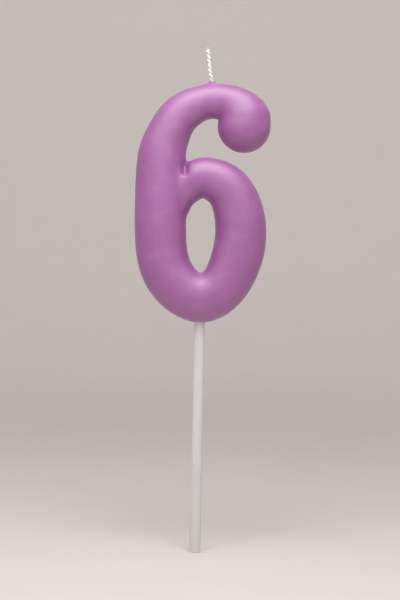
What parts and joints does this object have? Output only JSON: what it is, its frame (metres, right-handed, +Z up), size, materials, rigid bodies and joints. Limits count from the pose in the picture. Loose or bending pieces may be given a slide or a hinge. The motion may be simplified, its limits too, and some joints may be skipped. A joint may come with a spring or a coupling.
{
  "type": "number birthday candle",
  "caption": "Moulded wax number six candle with rounded strokes and a cotton wick, on a slim round stick that pushes into a cake.",
  "frame": {"origin": "lower tip of the stick, on its axis", "axes": "+Z up along the stick, +X to the right as the figure is read, -Y out of the figure's front"},
  "size_m": [0.042, 0.0142, 0.1581],
  "materials": {
    "wax": "lilac paraffin wax, satin, smooth from a two-part mould",
    "wick": "white twisted cotton, stiff with wax",
    "stick": "white extruded polypropylene, semi-gloss"
  },
  "bodies": {
    "stick": {"stick": "stick"},
    "figure": {"wax_figure": "wax", "wick": "wick"}
  },
  "joints": [
    {"name": "figure_pull", "type": "slide", "parent": "stick", "child": "figure", "axis": [0, 0, 1], "range_m": [0, 0.02]}
  ]
}
